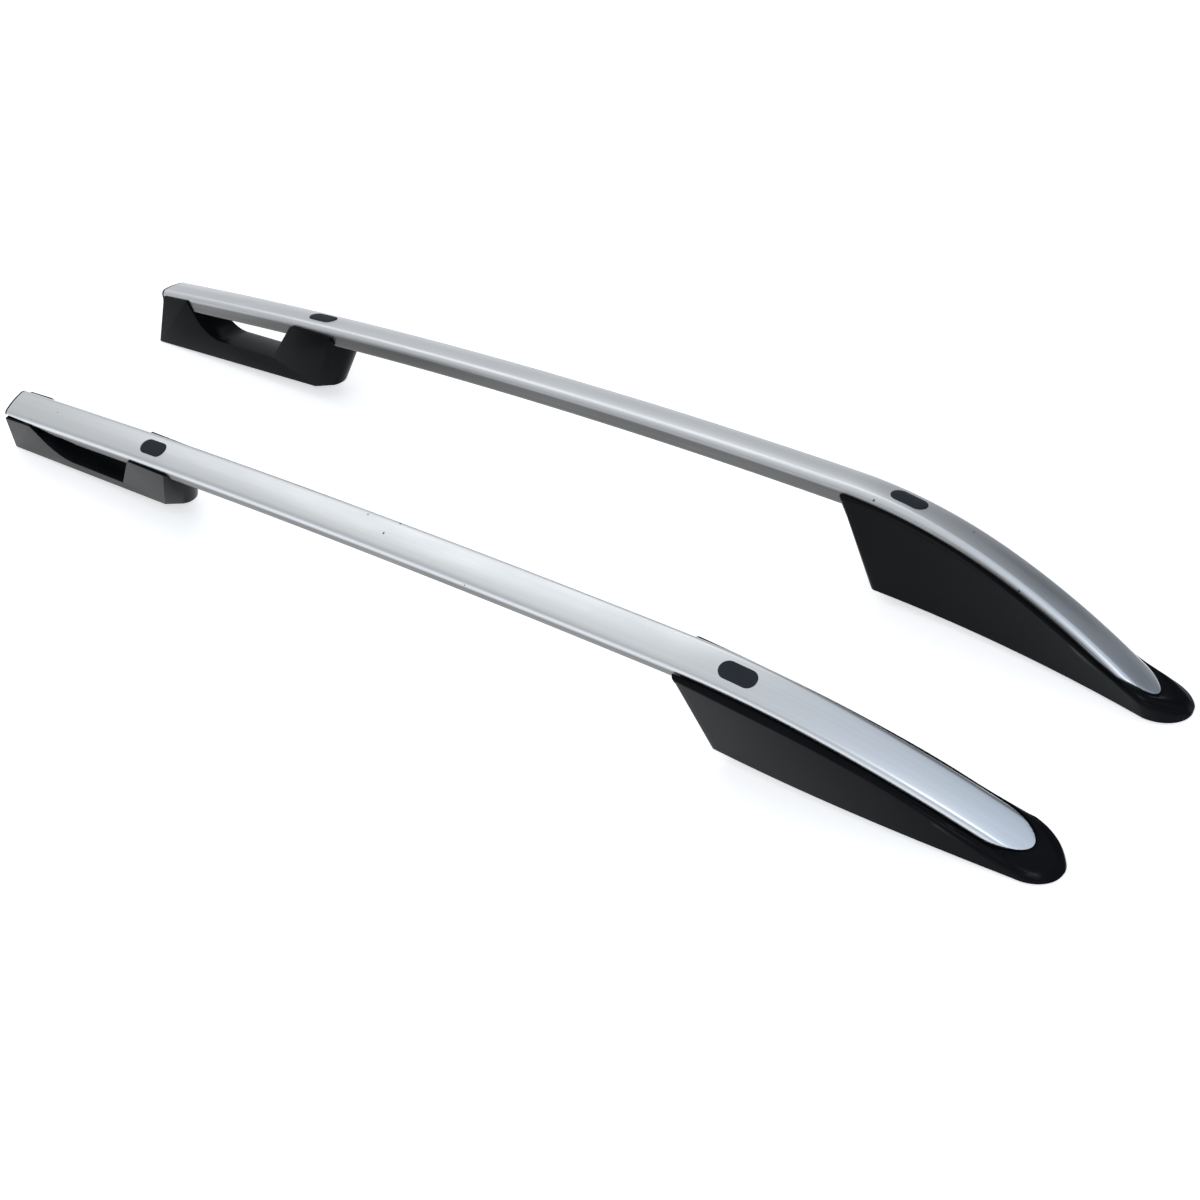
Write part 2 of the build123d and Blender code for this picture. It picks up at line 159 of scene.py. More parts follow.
FLANGE = 5.0
SKIRT = 6.0
REAR_STATIONS = (1100.0, 1400.0)
GROOVE_SEARCH = 60.0
EDGE_CLEARANCE = 0.3

# Most of the room at a rim that its lips, bead and knee may take, and its least slope
OUTER_LIP_SHARE = 0.55
OUTER_LIP_ROOM = 0.6
INNER_LIP_SHARE = 0.4
BEAD_ROOM = 0.75
KNEE_ROOM = 0.85
LEAST_COSINE = 0.75

# Small chips in the rails' finish, in metres
CHIPS = (
    (-0.767, -0.177, 0.086),
    (-0.725, -0.157, 0.0985),
    (-0.634, -0.181, 0.091),
    (-0.611, -0.180, 0.096),
    (-0.085, -0.152, 0.144),
    (-0.032, -0.148, 0.147),
    (-0.043, -0.168, 0.143),
    (0.109, -0.187, 0.136),
    (0.463, 0.141, 0.149),
    (0.581, 0.164, 0.128),
    (0.661, 0.126, 0.102),
)
CHIP_RADIUS = 0.0017
CHIP_CORE = 0.7
CHIP_RAGGED = 0.0009

# Tones and grain of the rails, and the heights between which the top's tone gives way to the sides' painted
# shade, a much darker tone that stands for the shaded floor the sides reflect
TOP_TONES = ((0.64, 0.665, 0.69, 1), (0.69, 0.715, 0.74, 1))
SHADED_SIDE_TONES = ((0.128, 0.127, 0.124, 1), (0.157, 0.155, 0.151, 1))
SHADED_SIDE_HEIGHTS = (-0.0125, -0.0065)
BAND_TONE = (0.42, 0.43, 0.44, 1)
BAND_SHARE = 0.08
CHIP_TONE = (0.05, 0.045, 0.04, 1)
CHIP_METAL = 0.15
STREAK_GRAIN = (1.6, 620.0, 620.0)
BAND_GRAIN = (1.1, 110.0, 110.0)
CLOUD_GRAIN = (7.0, 40.0, 40.0)
CHIP_GRAIN = (900.0, 900.0, 900.0)
RAIL_ROUGHNESS = (0.32, 0.42)
STREAK_HEIGHT = 0.25
RAIL_BUMP = (0.25, 0.0003)

# Grain of the other finishes, and the depth of their bump in metres
PLASTIC_CLOUD = (14.0, 14.0, 14.0)
PLASTIC_BUMP = 0.0002
METAL_BUMP = (0.2, 0.0003)

# Floor: its half width in metres, its finish, and what it adds to the camera's and reflections' view
FLOOR_REACH = 60.0
FLOOR_TONE = (0.85, 0.85, 0.85, 1)
FLOOR_ROUGHNESS = 0.9
FLOOR_SPECULAR = 0.1
FLOOR_GLOW = 0.54

# Studio surround: its tones at the horizon and overhead, the side that is dimmer and the cooler front
HORIZON_TONE = (0.50, 0.50, 0.51, 1)
OVERHEAD_TONE = (0.78, 0.785, 0.78, 1)
OVERHEAD_START = 0.7
DIM_TOWARD = (0.2, 0.92, 0.33)
DIM_LEVEL = 0.2
DIM_SPAN = (0.68, 0.97)
COOL_TINT = (0.92, 1.03, 1.2, 1)
COOL_SPAN = (-0.4, 0.5)


def spread(first, last, count):
    """Evenly spaced numbers from first to last."""
    return [first + (last - first) * step / count for step in range(count + 1)]


def ease(value, low, high):
    """Smooth step from 0 at low to 1 at high."""
    share = min(max((value - low) / (high - low), 0.0), 1.0)
    return share * share * (3 - 2 * share)


def solve(function, low, high):
    """Where a rising function crosses zero."""
    for turn in range(HALVINGS):
        middle = (low + high) / 2
        if function(middle) < 0:
            low = middle
        else:
            high = middle
    return (low + high) / 2


def arc(centre, radius, first, last, count):
    """Points of a flat arc."""
    return [
        Vector((centre.x + radius * cos(turn), centre.y + radius * sin(turn)))
        for turn in spread(first, last, count)
    ]


def crown(station):
    """Point and heading of the crown line at a station, in the rail's own plane."""
    x = 0.0
    z = 0.0
    heading = REAR_HEADING
    for index, (radius, length) in enumerate(ARCS):
        run = station if index == len(ARCS) - 1 else min(station, length)
        turned = heading - run / radius
        x += radius * (sin(heading) - sin(turned))
        z += radius * (cos(turned) - cos(heading))
        heading = turned
        station -= run
    return x, z, heading


def rail_point(station, across, up):
    """Where a point of the section stands."""
    x, z, heading = crown(station)
    return POSE @ Vector((x - up * sin(heading), across, z + up * cos(heading)))


def section(grow):
    """Section of the rail, grown or shrunk: points across and up from its crown, from the underside round."""
    half_top = RAIL_WIDTH / 2 + grow
    corner = Vector((half_top, grow - CROWN_RISE))
    foot = -RAIL_HEIGHT - grow
    crown_radius = (half_top ** 2 + CROWN_RISE ** 2) / (2 * CROWN_RISE)
    crown_centre = Vector((0, grow - crown_radius))
    down = Vector((-SIDE_DRAFT, foot - corner.y)).normalized()
    inward = Vector((down.y, -down.x))
    side_turn = atan2(-inward.y, -inward.x)
    shoulder_radius = SHOULDER_RADIUS + grow
    start = corner + inward * shoulder_radius
    offset = start - crown_centre
    fall = -offset.dot(down)
    slide = fall - sqrt(fall ** 2 - offset.length_squared + (crown_radius - shoulder_radius) ** 2)
    shoulder = start + down * slide
    top_turn = atan2(shoulder.y - crown_centre.y, shoulder.x)
    heel_radius = max(HEEL_RADIUS + grow, LEAST_RADIUS)
    drop = (foot + heel_radius - corner.y - inward.y * heel_radius) / down.y
    heel = corner + down * drop + inward * heel_radius
    half = [Vector((0, foot)), Vector((heel.x / 2, foot))]
    half += arc(heel, heel_radius, -pi / 2, side_turn, HEEL_STEPS)
    low_side = half[-1]
    rounding = arc(shoulder, shoulder_radius, side_turn, top_turn, SHOULDER_STEPS)
    half += [low_side.lerp(rounding[0], share) for share in (1 / 3, 2 / 3)]
    half += rounding
    half += arc(crown_centre, crown_radius, top_turn, pi / 2, CROWN_STEPS)[1:]
    other = [Vector((-point.x, point.y)) for point in reversed(half[1:-1])]
    return half + other


def base_height(x):
    """Height of the front base's underside above the floor."""
    return (nose_end - BASE_INSET - x) * tan(BASE_TILT)


def ring(station, loop):
    """One turn round the rail, as station, across and up."""
    return [(station, point.x, point.y) for point in loop]


def rail_rows():
    """The rail: up its hollow from the front, over its rear end and along its outside to the tongue."""
    main, bend = (length for radius, length in ARCS[:2])
    stations = spread(0, main, RAIL_STEPS[0])[:-1]
    stations += spread(main, main + bend, RAIL_STEPS[1])[:-1]
    stations += spread(main + bend, TONGUE_START, RAIL_STEPS[2])
    inner = section(-RAIL_WALL)
    outer = section(0.0)
    rows = [ring(station, inner) for station in reversed(stations)]
    rows += [ring(station, outer) for station in stations]
    for turn in spread(0, TONGUE_LAST_TURN, TONGUE_STEPS)[1:]:
        half = TONGUE_HALF * cos(turn)
        station = TONGUE_START + TONGUE_LENGTH * sin(turn)
        depth = RAIL_HEIGHT - TIP_TRIM * ease(station, TONGUE_START, TONGUE_START + TONGUE_LENGTH / 2)
        rows.append([
            (station, min(max(point.x, -half), half), max(point.y, -depth))
            for point in outer
        ])
    return rows


def cap_rows():
    """The rear end cap: its stem in the hollow, then its plate with a rounded rim."""
    stem = section(-CAP_STEM_INSET)
    plate = section(0.0)
    rows = [ring(CAP_STEM, stem), ring(0.0, stem), ring(0.0, plate)]
    for turn in spread(0, pi / 2, CAP_STEPS):
        edge = CAP_EDGE - CAP_THICKNESS - CAP_EDGE * sin(turn)
        rows.append(ring(edge, section(CAP_EDGE * (cos(turn) - 1))))
    return rows


def plug_rows(middle):
    """Domed oblong lid that follows the crown."""
    crown_radius = ((RAIL_WIDTH / 2) ** 2 + CROWN_RISE ** 2) / (2 * CROWN_RISE)
    straight = (PLUG_LENGTH - PLUG_WIDTH) / 2
    rows = []
    for inset, rise in PLUG_RIM:
        radius = PLUG_WIDTH / 2 - inset
        outline = arc(Vector((straight, 0)), radius, -pi / 2, pi / 2, PLUG_STEPS)
        outline += arc(Vector((-straight, 0)), radius, pi / 2, 3 * pi / 2, PLUG_STEPS)
        rows.append([
            (middle + point.x, point.y, sqrt(crown_radius ** 2 - point.y ** 2) - crown_radius + rise)
            for point in outline
        ])
    return rows


def through(places, offsets, x):
    """Smooth line through three offsets."""
    first, second, third = places
    return (
        offsets[0] * (x - second) * (x - third) / ((first - second) * (first - third))
        + offsets[1] * (x - first) * (x - third) / ((second - first) * (second - third))
        + offsets[2] * (x - first) * (x - second) / ((third - first) * (third - second))
    )


def rim_line():
    """The cover's rim in the rail's plane, as places, heights and headings."""
    line = []
    for station in spread(RIM_START, RIM_RISE_STATION, RIM_STEPS[0]):
        x, z, heading = crown(station)
        line.append((x + RIM_DROP * sin(heading), z - RIM_DROP * cos(heading), heading))
    x, z, heading = line[-1]
    radius, length = RIM_RISE
    for turn in spread(0, length / radius, RIM_STEPS[1])[1:]:
        risen = heading + turn
        line.append((
            x + radius * (sin(risen) - sin(heading)),
            z + radius * (cos(heading) - cos(risen)),
            risen,
        ))
    x, z, heading = line[-1]
    radius = RIM_NOSE_RADIUS
    for turn in spread(0, RIM_NOSE_TURN, RIM_STEPS[2])[1:]:
        fallen = heading - turn
        line.append((
            x + radius * (sin(heading) - sin(fallen)),
            z + radius * (cos(fallen) - cos(heading)),
            fallen,
        ))
    return line


def over_rim(local):
    """How far a point in the rail's frame lies above the rim, and the rim's heading there."""
    index = min(max(bisect_right(rim_places, local.x), 1), len(rim) - 1)
    first = rim[index - 1]
    second = rim[index]
    share = (local.x - first[0]) / (second[0] - first[0])
    height = first[1] + (second[1] - first[1]) * share
    return local.z - height, first[2] + (second[2] - first[2]) * min(max(share, 0.0), 1.0)


def cover_outline(level, margins):
    """Plan of the cover at a level, from its outboard rear edge round the nose to its inboard one."""
    share = level / TOP_LEVEL
    outer = [low + (high - low) * share for low, high in zip(FLOOR_OUTER, TOP_OUTER)]
    inner = [low + (high - low) * share for low, high in zip(FLOOR_INNER, TOP_INNER)]
    start = nose_end - COVER_LENGTH
    rear = start - level * COVER_RAKE
    front = nose_end - NOSE_LENGTH - level * NOSE_RAKE
    places = (rear, (start + front) / 2, front)
    centre = (outer[2] + inner[2]) / 2
    half = (outer[2] - inner[2]) / 2
    corner = INNER_CORNER[0] + (INNER_CORNER[1] - INNER_CORNER[0]) * share
    points = [(rear, outer[0] - margins[0])]
    for turn in spread(pi / 2, 0, OUTER_CORNER_STEPS):
        x = rear + OUTER_CORNER * (1 - sin(turn))
        points.append((x, through(places, outer, x) - OUTER_CORNER * (1 - cos(turn))))
    for x in spread(rear + OUTER_CORNER, front, SIDE_STEPS)[1:-1]:
        points.append((x, through(places, outer, x)))
    for turn in spread(pi / 2, -pi / 2, NOSE_STEPS):
        points.append((front + NOSE_LENGTH * cos(turn), centre + half * sin(turn)))
    for x in spread(front, rear + corner, SIDE_STEPS)[1:-1]:
        points.append((x, through(places, inner, x)))
    for turn in spread(0, pi / 2, INNER_CORNER_STEPS):
        x = rear + corner * (1 - sin(turn))
        points.append((x, through(places, inner, x) + corner * (1 - cos(turn))))
    points.append((rear, inner[0] + max(margins[1], corner + LEAST_RADIUS)))
    return [Vector((x, y, level)) for x, y in points]


def wall_point(low, high, level):
    """Point of a wall line at a level."""
    return low.lerp(high, (level - LOW_LEVEL) / (TOP_LEVEL - LOW_LEVEL))


def rear_point(across, up):
    """Where a line along the rail passes through the cover's rear face."""
    start = nose_end - COVER_LENGTH

    def past(station):
        point = rail_point(station, across, up)
        return point.x + point.z * COVER_RAKE - start

    return rail_point(solve(past, *REAR_STATIONS), across, up)


def groove_edge(top):
    """Point on the edge of the cover's trough that faces a point of its rim."""
    local = POSE.inverted() @ top
    end_x, end_z, heading = crown(RAIL_LENGTH)
    forward = (local.x - end_x) * cos(heading) + (local.z - end_z) * sin(heading) + TONGUE_LENGTH
    if forward <= 0:
        return POSE @ Vector((local.x, SIDE_OFFSET if local.y > 0 else -SIDE_OFFSET, local.z))
    reach = TONGUE_LENGTH + GROOVE_GAP
    half = TONGUE_HALF + GROOVE_GAP
    share = 1 / sqrt((forward / reach) ** 2 + (local.y / half) ** 2)
    along = forward * share - TONGUE_LENGTH
    across = min(max(local.y * share, -SIDE_OFFSET), SIDE_OFFSET)

    def lifted(up):
        return Vector((
            end_x + along * cos(heading) - up * sin(heading),
            across,
            end_z + along * sin(heading) + up * cos(heading),
        ))

    return POSE @ lifted(solve(lambda up: over_rim(lifted(up))[0], -GROOVE_SEARCH, GROOVE_SEARCH))


def on_rim(point, lift=0.0):
    """The point of the rim's surface over a point, lifted square to the rim."""
    local = POSE.inverted() @ point
    height, heading = over_rim(local)
    local.z -= height
    return POSE @ (local + Vector((-sin(heading), 0, cos(heading))) * lift)


def curve(first, control, last, count):
    """Quadratic curve between two points."""
    return [
        first * (1 - share) ** 2 + control * 2 * share * (1 - share) + last * share ** 2
        for share in spread(0, 1, count)
    ]


def cover_column(low, high, outward):
    """One line of the cover's skin: flange, wall, bead, rounded rim and skirt."""
    to_rail = POSE.inverted()
    foot = solve(lambda z: z - base_height(wall_point(low, high, z).x) - BASE_RISE, LOW_LEVEL, TOP_LEVEL)
    base = wall_point(low, high, foot)
    if over_rim(to_rail @ base)[0] > 0:
        edge = groove_edge(base)
        share = solve(lambda part: on_rim(base.lerp(edge, part)).z - foot, 0.0, 1.0)
        back = on_rim(base.lerp(edge, share)) - base
        low = low + back
        high = high + back
        base = base + back
    brow = max(solve(lambda z: over_rim(to_rail @ wall_point(low, high, z))[0], foot, TOP_LEVEL), foot)
    top = wall_point(low, high, brow)
    heading = over_rim(to_rail @ top)[1]
    steep = max(cos(heading), LEAST_COSINE)
    growth = ease(top.x, *LIP_GROWTH)
    proud = outward * BEAD_PROUD * (1 - ease(top.x, *BEAD_FADE))
    edge = groove_edge(top)
    across = edge - (top + proud)
    inward = across.normalized()
    room = brow - foot
    outer = LIP_OUTER[0] + (LIP_OUTER[1] - LIP_OUTER[0]) * growth
    outer = min(outer, across.length * OUTER_LIP_SHARE, room * OUTER_LIP_ROOM)
    inner = LIP_INNER[0] + (LIP_INNER[1] - LIP_INNER[0]) * growth
    inner = min(inner, across.length * INNER_LIP_SHARE)
    bead = min(max(BEAD_HEIGHT / steep, outer + BEAD_PROUD), room * BEAD_ROOM)
    knee = wall_point(low, high, brow - min(bead + BEAD_PROUD, room * KNEE_ROOM))
    up = (POSE.to_3x3() @ Vector((-sin(heading), 0, cos(heading)))).normalized()
    points = [base - outward * FLANGE]
    points += [base.lerp(knee, share) for share in spread(0, 1, WALL_ROWS)]
    points.append(wall_point(low, high, brow - bead) + proud)
    crest = top + proud
    first = on_rim(crest + inward * outer)
    last = on_rim(edge - inward * inner)
    points += curve(wall_point(low, high, brow - outer) + proud, crest, first, LIP_STEPS)
    for share in spread(0, 1, LIP_STEPS)[1:-1]:
        points.append(on_rim(first.lerp(last, share), LIP_BULGE * growth * 4 * share * (1 - share)))
    points += curve(last, edge, edge - up * inner, LIP_STEPS)
    hem = edge - up * (inner + SKIRT)
    hem.z = max(hem.z, base_height(hem.x) + SKIRT)
    points.append(hem)
    return points


def cover_skin():
    """Faces of the cover's skin: its sides and nose, then the rear face under the rail."""
    outer_edge = rear_point(SIDE_OFFSET + EDGE_CLEARANCE, -RIM_DROP)
    inner_edge = rear_point(-SIDE_OFFSET - EDGE_CLEARANCE, -RIM_DROP)
    margins = (
        FLOOR_OUTER[0] + (TOP_OUTER[0] - FLOOR_OUTER[0]) * outer_edge.z / TOP_LEVEL - outer_edge.y,
        inner_edge.y - FLOOR_INNER[0] - (TOP_INNER[0] - FLOOR_INNER[0]) * inner_edge.z / TOP_LEVEL,
    )
    lows = cover_outline(LOW_LEVEL, margins)
    highs = cover_outline(TOP_LEVEL, margins)
    last = len(lows) - 1
    columns = []
    for index in range(len(lows)):
        if index in (0, last):
            outward = Vector((-1, 0, 0))
        else:
            run = highs[index + 1] - highs[index - 1]
            outward = Vector((-run.y, run.x, 0)).normalized()
        columns.append(cover_column(lows[index], highs[index], outward))
    quads = grid(columns)
    lip = WALL_ROWS + 2
    profile = [point for point in section(GROOVE_GAP) if point.y < -RAIL_HEIGHT + HEEL_RADIUS]
    profile.sort(key=lambda point: -point.x)
    first = columns[0][1:lip]
    final = columns[-1][1:lip]
    rear = [columns[0][:lip]]
    for point in profile:
        share = (SIDE_OFFSET - point.x) / (2 * SIDE_OFFSET)
        base = first[0].lerp(final[0], share)
        top = rear_point(point.x, point.y)
        line = [base + Vector((FLANGE, 0, 0))]
        line += [base.lerp(top, step) for step in spread(0, 1, WALL_ROWS)]
        rear.append(line)
    rear.append(columns[-1][:lip])
    return quads + grid(rear)


def grid(rows, closed=False):
    """Quads between neighbouring rows of points."""
    quads = []
    for first, second in zip(rows, rows[1:]):
        count = len(first)
        for index in range(count if closed else count - 1):
            after = (index + 1) % count
            quads.append((first[index], first[after], second[after], second[index]))
    return quads


def shade(mesh):
    """Shade smooth, with edges kept sharp where the surface turns."""
    work = bmesh.new()
    work.from_mesh(mesh)
    for face in work.faces:
        face.smooth = True
    for edge in work.edges:
        edge.smooth = len(edge.link_faces) == 2 and edge.calc_face_angle(0.0) < SHARP_ANGLE
    work.to_mesh(mesh)
    work.free()


def to_world(point, side):
    """From millimetres beside one rail to metres in the frame."""
    return Vector((point.x + shift, (point.y + HALF_SPACING) * SIDES[side], point.z)) * MM


def turn_outward(work):
    """Make the faces agree, and look outward."""
    bmesh.ops.recalc_face_normals(work, faces=work.faces)
    middle = sum((vertex.co for vertex in work.verts), Vector()) / len(work.verts)
    sense = sum(face.normal.dot(face.calc_center_median() - middle) * face.calc_area() for face in work.faces)
    if sense < 0:
        bmesh.ops.reverse_faces(work, faces=work.faces)


def finish_piece(name, work, material, node):
    """Put a mesh into the scene as the piece that stands for a node."""
    mesh = bpy.data.meshes.new(name)
    work.to_mesh(mesh)
    work.free()
    piece = bpy.data.objects.new(name, mesh)
    bpy.context.scene.collection.objects.link(piece)
    paint(piece, material)
    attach(piece, "root")
    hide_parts(node)
    return piece


def add_turned(side, name, rows, material):
    """A piece of closed turns along the rail, closed at both ends, with its places along the rail kept."""
    node = side + "_" + name
    work = bmesh.new()
    along = work.verts.layers.float_vector.new("along")
    turns = []
    for row in rows:
        turn = []
        for station, across, up in row:
            point = rail_point(station, across, up)
            point.z = max(point.z, base_height(point.x) + MITRE_HEIGHT)
            vertex = work.verts.new(to_world(point, side))
            vertex[along] = Vector((station, across * SIDES[side], up)) * MM
            turn.append(vertex)
        turns.append(turn)
    for quad in grid(turns, closed=True):
        work.faces.new(quad)
    work.faces.new(turns[0])
    work.faces.new(turns[-1])
    bmesh.ops.remove_doubles(work, verts=work.verts, dist=WELD)
    bmesh.ops.recalc_face_normals(work, faces=work.faces)
    piece = finish_piece(node + "_skin", work, material, node)
    shade(piece.data)


def add_cover(side, material):
    """The front cover's shell with its bead and rounded nose."""
    node = side + "_front_cover"
    work = bmesh.new()
    for quad in cover_skin():
        work.faces.new([work.verts.new(to_world(point, side)) for point in quad])
    bmesh.ops.remove_doubles(work, verts=work.verts, dist=WELD)
    turn_outward(work)
    piece = finish_piece(node + "_skin", work, material, node)
    shell = piece.modifiers.new("shell", "SOLIDIFY")
    shell.thickness = COVER_THICKNESS * MM
    shell.offset = -1
    apply_modifiers(piece)
    shade(piece.data)


def apply_modifiers(piece):
    """Keep the modified mesh as the piece's own."""
    done = bpy.data.meshes.new_from_object(piece.evaluated_get(bpy.context.evaluated_depsgraph_get()))
    piece.modifiers.clear()
    piece.data = done


def soften(node, radius, material):
    """A copy of a CAD node with its sharp edges rounded, which stands for the node."""
    work = bmesh.new()
    work.from_mesh(nodes[node].data)
    bmesh.ops.remove_doubles(work, verts=work.verts, dist=WELD)
    bmesh.ops.dissolve_limit(
        work, angle_limit=FLAT_ANGLE, verts=work.verts, edges=work.edges, use_dissolve_boundaries=False
    )
    piece = finish_piece(node + "_soft", work, material, node)
    bevel = piece.modifiers.new("edges", "BEVEL")
    bevel.width = radius
    bevel.segments = EDGE_SEGMENTS
    bevel.limit_method = "ANGLE"
    bevel.angle_limit = SHARP_ANGLE
    bevel.use_clamp_overlap = True
    bevel.miter_outer = "MITER_ARC"
    apply_modifiers(piece)
    shade(piece.data)
    return piece


def socket(node, name, value):
    """Set one input of a shader node."""
    node.inputs[name].default_value = value


def set_span(node, start, stop, low, high):
    """Set the range that a map range node takes in and the one it gives out."""
    for name, number in (("From Min", start), ("From Max", stop), ("To Min", low), ("To Max", high)):
        socket(node, name, number)


class Look:
    """A material under construction: its nodes, its links and its principled shader."""

    def __init__(self, name, along=False):
        self.material = bpy.data.materials.new(name)
        self.material.use_nodes = True
        self.tree = self.material.node_tree
        self.shader = self.tree.nodes["Principled BSDF"]
        self.object_place = self.add("ShaderNodeTexCoord").outputs["Object"]
        self.place = self.object_place
        if along:
            attribute = self.add("ShaderNodeAttribute")
            attribute.attribute_name = "along"
            self.place = attribute.outputs["Vector"]

    def add(self, kind, **inputs):
        node = self.tree.nodes.new(kind)
        for name, value in inputs.items():
            socket(node, name, value)
        return node

    def link(self, source, node, name):
        self.tree.links.new(source, node.inputs[name])

    def noise(self, stretch, detail=3.0, roughness=0.55):
        """Noise whose grain is stretched by a scale along each axis."""
        mapping = self.add("ShaderNodeMapping", Scale=stretch)
        self.link(self.place, mapping, "Vector")
        noise = self.add("ShaderNodeTexNoise", Scale=1.0, Detail=detail, Roughness=roughness)
        self.link(mapping.outputs["Vector"], noise, "Vector")
        return noise.outputs["Fac"]

    def span(self, value, low, high, start=0.3, stop=0.7):
        """Spread a value from low to high."""
        spread_node = self.add("ShaderNodeMapRange")
        set_span(spread_node, start, stop, low, high)
        self.link(value, spread_node, "Value")
        return spread_node.outputs["Result"]

    def blend(self, share, first, second):
        """Mix two colours or sockets by a share."""
        mix = self.tree.nodes.new("ShaderNodeMix")
        mix.data_type = "RGBA"
        self.link(share, mix, 0)
        for slot, colour in ((6, first), (7, second)):
            if isinstance(colour, tuple):
                mix.inputs[slot].default_value = colour
            else:
                self.tree.links.new(colour, mix.inputs[slot])
        return mix.outputs[2]

    def calculate(self, kind, first, second):
        """A sum, product or lesser of two values."""
        node = self.tree.nodes.new("ShaderNodeMath")
        node.operation = kind
        for slot, value in enumerate((first, second)):
            if isinstance(value, float):
                node.inputs[slot].default_value = value
            else:
                self.tree.links.new(value, node.inputs[slot])
        return node.outputs[0]

    def distance(self, point):
        """How far the surface is from a point."""
        node = self.tree.nodes.new("ShaderNodeVectorMath")
        node.operation = "DISTANCE"
        node.inputs[1].default_value = point
        self.tree.links.new(self.object_place, node.inputs[0])
        return node.outputs["Value"]

    def bump(self, height, strength, distance):
        node = self.add("ShaderNodeBump", Strength=strength, Distance=distance)
        self.link(height, node, "Height")
        self.link(node.outputs["Normal"], self.shader, "Normal")


def rail_look():
    """Satin drawn aluminium: fine streaks along the rail, sides painted darker as painted shade, and a few
    small chips.
    """
    look = Look("satin_aluminium", along=True)
    streak = look.noise(STREAK_GRAIN, detail=4.0)
    band = look.noise(BAND_GRAIN, detail=2.0)
    cloud = look.noise(CLOUD_GRAIN, detail=3.0)
    split = look.add("ShaderNodeSeparateXYZ")
    look.link(look.place, split, "Vector")
    # Painted shade: below the shoulder the sides take a much darker tone than the top
    side = look.span(split.outputs["Z"], 1.0, 0.0, *SHADED_SIDE_HEIGHTS)
    top = look.blend(look.span(streak, 0.0, 1.0), *TOP_TONES)
    low = look.blend(look.span(streak, 0.0, 1.0), *SHADED_SIDE_TONES)
    tone = look.blend(side, top, low)
    tone = look.blend(look.span(band, 0.0, BAND_SHARE), tone, BAND_TONE)
    ragged = look.span(look.noise(CHIP_GRAIN, detail=2.0), -CHIP_RAGGED, CHIP_RAGGED)
    nearest = look.distance(CHIPS[0])
    for chip in CHIPS[1:]:
        nearest = look.calculate("MINIMUM", nearest, look.distance(chip))
    edge = look.calculate("ADD", nearest, ragged)
    chip = look.span(edge, 1.0, 0.0, CHIP_RADIUS * CHIP_CORE, CHIP_RADIUS)
    look.link(look.blend(chip, tone, CHIP_TONE), look.shader, "Base Color")
    look.link(look.span(chip, 1.0, CHIP_METAL, 0.0, 1.0), look.shader, "Metallic")
    look.link(look.span(cloud, *RAIL_ROUGHNESS), look.shader, "Roughness")
    height = look.calculate("SUBTRACT", look.calculate("MULTIPLY", streak, STREAK_HEIGHT), chip)
    look.bump(height, *RAIL_BUMP)
    return look.material


def plastic_look(name, dark, light, roughness, grain, strength, specular):
    """Moulded plastic with a fine grain and uneven sheen."""
    look = Look(name)
    socket(look.shader, "Specular IOR Level", specular)
    cloud = look.noise(PLASTIC_CLOUD, detail=4.0)
    fine = look.noise((grain, grain, grain), detail=2.0)
    look.link(look.blend(look.span(cloud, 0.0, 1.0), dark, light), look.shader, "Base Color")
    look.link(look.span(cloud, *roughness), look.shader, "Roughness")
    look.bump(fine, strength, PLASTIC_BUMP)
    return look.material


def metal_look(name, dark, light, roughness, grain):
    """Bare cast or plated metal, mottled."""
    look = Look(name)
    socket(look.shader, "Metallic", 1.0)
    fine = look.noise((grain, grain, grain), detail=4.0)
    look.link(look.blend(look.span(fine, 0.0, 1.0), dark, light), look.shader, "Base Color")
    look.link(look.span(fine, *roughness), look.shader, "Roughness")
    look.bump(fine, *METAL_BUMP)
    return look.material


def paint(piece, material):
    piece.data.materials.clear()
    piece.data.materials.append(material)


def add_camera():
    """Camera at the photograph's angle."""
    azimuth = radians(CAMERA_AZIMUTH)
    elevation = radians(CAMERA_ELEVATION)
    roll = radians(CAMERA_ROLL)
    back = Vector((sin(azimuth) * cos(elevation), -cos(azimuth) * cos(elevation), sin(elevation)))
    level = Vector((cos(azimuth), sin(azimuth), 0))
    upright = back.cross(level)
    right = level * cos(roll) + upright * sin(roll)
    up = upright * cos(roll) - level * sin(roll)
    data = bpy.data.cameras.new("camera")
    data.lens = CAMERA_LENS
    data.sensor_width = CAMERA_SENSOR
    data.sensor_fit = "HORIZONTAL"
    data.clip_end = CAMERA_CLIP
    camera = bpy.data.objects.new("camera", data)
    camera.matrix_world = Matrix((
        (right.x, up.x, back.x, CAMERA_AT.x),
        (right.y, up.y, back.y, CAMERA_AT.y),
        (right.z, up.z, back.z, CAMERA_AT.z),
        (0, 0, 0, 1),
    ))
    bpy.context.scene.collection.objects.link(camera)
    bpy.context.scene.camera = camera


def add_lamp(name, at, aim, size, power):
    """Soft box turned toward a point."""
    data = bpy.data.lights.new(name, "AREA")
    data.shape = "RECTANGLE"
    data.size, data.size_y = size
    data.energy = power
    lamp = bpy.data.objects.new(name, data)
    lamp.location = at
    lamp.rotation_euler = (Vector(aim) - Vector(at)).to_track_quat("-Z", "Y").to_euler()
    bpy.context.scene.collection.objects.link(lamp)


